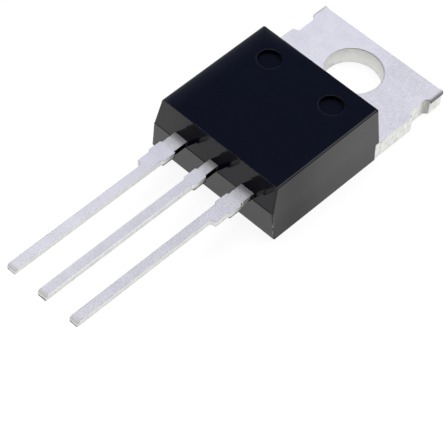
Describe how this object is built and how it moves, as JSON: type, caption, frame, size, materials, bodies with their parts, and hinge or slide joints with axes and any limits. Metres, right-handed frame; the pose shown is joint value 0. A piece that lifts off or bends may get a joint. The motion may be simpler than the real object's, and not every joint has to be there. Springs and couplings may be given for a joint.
{
  "type": "voltage regulator",
  "caption": "Voltage regulator in a black moulded package, with a drilled metal mounting tab and straight flat leads for a circuit board.",
  "frame": {"origin": "centre of the mounting hole, on the flat back face that the part lies on", "axes": "+X across the part towards the output lead, +Y from the leads to the tab's free end, +Z out of the moulded body's top face"},
  "size_m": [0.0102, 0.0293, 0.0043],
  "materials": {
    "moulding_compound": "fine matte, spark-eroded",
    "tinned_tab": "matte tin plate",
    "tinned_lead": "matte tin plate",
    "silicon": "polished",
    "solder": "satin",
    "bond_wire": "bright drawn"
  },
  "bodies": {
    "root": {"moulded_body": "moulding_compound", "tab_with_centre_lead": "tinned_tab", "input_lead": "tinned_lead", "output_lead": "tinned_lead", "silicon_die": "silicon", "die_solder": "solder", "input_bond_wire": "bond_wire", "output_bond_wire": "bond_wire", "ground_bond_wire": "bond_wire"}
  },
  "joints": []
}
